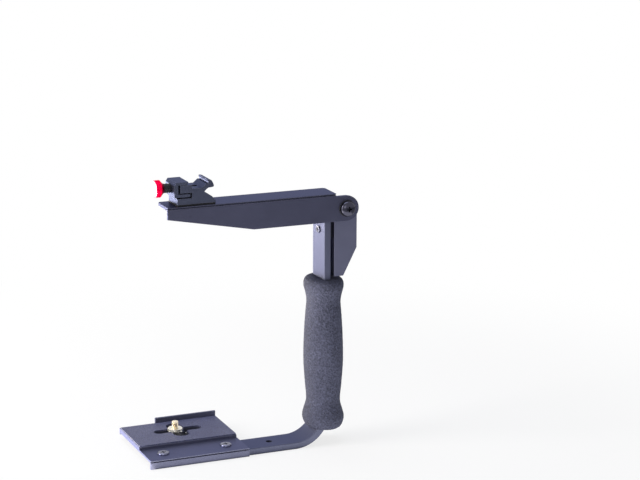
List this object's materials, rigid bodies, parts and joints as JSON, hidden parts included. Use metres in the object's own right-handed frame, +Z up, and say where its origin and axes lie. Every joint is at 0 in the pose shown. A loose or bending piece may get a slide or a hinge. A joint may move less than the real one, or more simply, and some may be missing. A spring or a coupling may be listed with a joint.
{
  "type": "camera flash bracket",
  "caption": "L-shaped flat-bar bracket with a slotted camera platform, a foam grip and a flip arm that carries a clamping flash shoe.",
  "frame": {"origin": "mouth of the tripod socket, in the underside of the base bar", "axes": "+Z up along the post, +X along the base towards the post, -Y the side with the pivot screw"},
  "size_m": [0.209, 0.1029, 0.2715],
  "materials": {
    "black_anodised": "satin",
    "foam": "matte",
    "pad_rubber": "pebbled",
    "black_plastic": "matte",
    "black_steel": "satin",
    "zinc_steel": "satin",
    "nickel": "bright",
    "brass": "bright",
    "red_knob": "anodised",
    "nylon": "matte"
  },
  "bodies": {
    "bracket": {"frame_bar": "black_anodised", "grip": "foam", "platform": "black_anodised", "platform_pad": "pad_rubber", "platform_screws": "black_steel", "head_bracket": "black_anodised", "head_spacer": "black_anodised", "head_screws": "black_steel", "head_nuts": "zinc_steel", "pivot_screw": "black_steel", "pivot_washer": "black_plastic", "pivot_friction_washer": "nylon", "pivot_lock_washer": "zinc_steel", "pivot_nut": "zinc_steel"},
    "arm": {"flip_arm": "black_anodised", "pivot_bush": "nylon"},
    "shoe": {"shoe_base": "black_anodised", "shoe_pad": "pad_rubber"},
    "jaw": {"shoe_jaw": "black_anodised"},
    "clamp": {"clamp_screw": "zinc_steel", "clamp_sleeve": "black_plastic", "clamp_knob": "red_knob", "clamp_cap": "nickel", "clamp_clip": "zinc_steel"},
    "lock": {"shoe_lock_stud": "zinc_steel", "shoe_lock_washer": "nylon", "shoe_lock_knob": "black_plastic"},
    "collar": {"camera_collar": "nickel"},
    "camera_bolt": {"camera_screw": "brass", "camera_screw_knob": "black_plastic"}
  },
  "joints": [
    {"name": "arm_flip", "type": "hinge", "parent": "bracket", "child": "arm", "pos_m": [0.0724, 0, 0.2328], "axis": [0, 1, 0], "range_deg": [0, 176]},
    {"name": "shoe_swivel", "type": "hinge", "parent": "arm", "child": "shoe", "pos_m": [-0.0751, -0.0037, 0.2478], "axis": [0, 0, 1], "continuous": true},
    {"name": "lock_turn", "type": "hinge", "parent": "arm", "child": "lock", "pos_m": [-0.0751, -0.0037, 0.2478], "axis": [0, 0, 1], "range_deg": [0, 180]},
    {"name": "jaw_slide", "type": "slide", "parent": "shoe", "child": "jaw", "axis": [1, 0, 0], "range_m": [-0.004, 0.0015]},
    {"name": "clamp_turn", "type": "hinge", "parent": "jaw", "child": "clamp", "pos_m": [-0.098, -0.0037, 0.2635], "axis": [1, 0, 0], "range_deg": [-2070, 785]},
    {"name": "camera_screw_slide", "type": "slide", "parent": "bracket", "child": "collar", "axis": [1, 0, 0], "range_m": [-0.0165, 0.0218]},
    {"name": "camera_screw_turn", "type": "hinge", "parent": "collar", "child": "camera_bolt", "pos_m": [-0.0776, 0.0503, 0.012], "axis": [0, 0, 1], "continuous": true}
  ],
  "couplings": [
    {"joint": "clamp_turn", "follows": "jaw_slide", "rad_per_m": 8976}
  ]
}
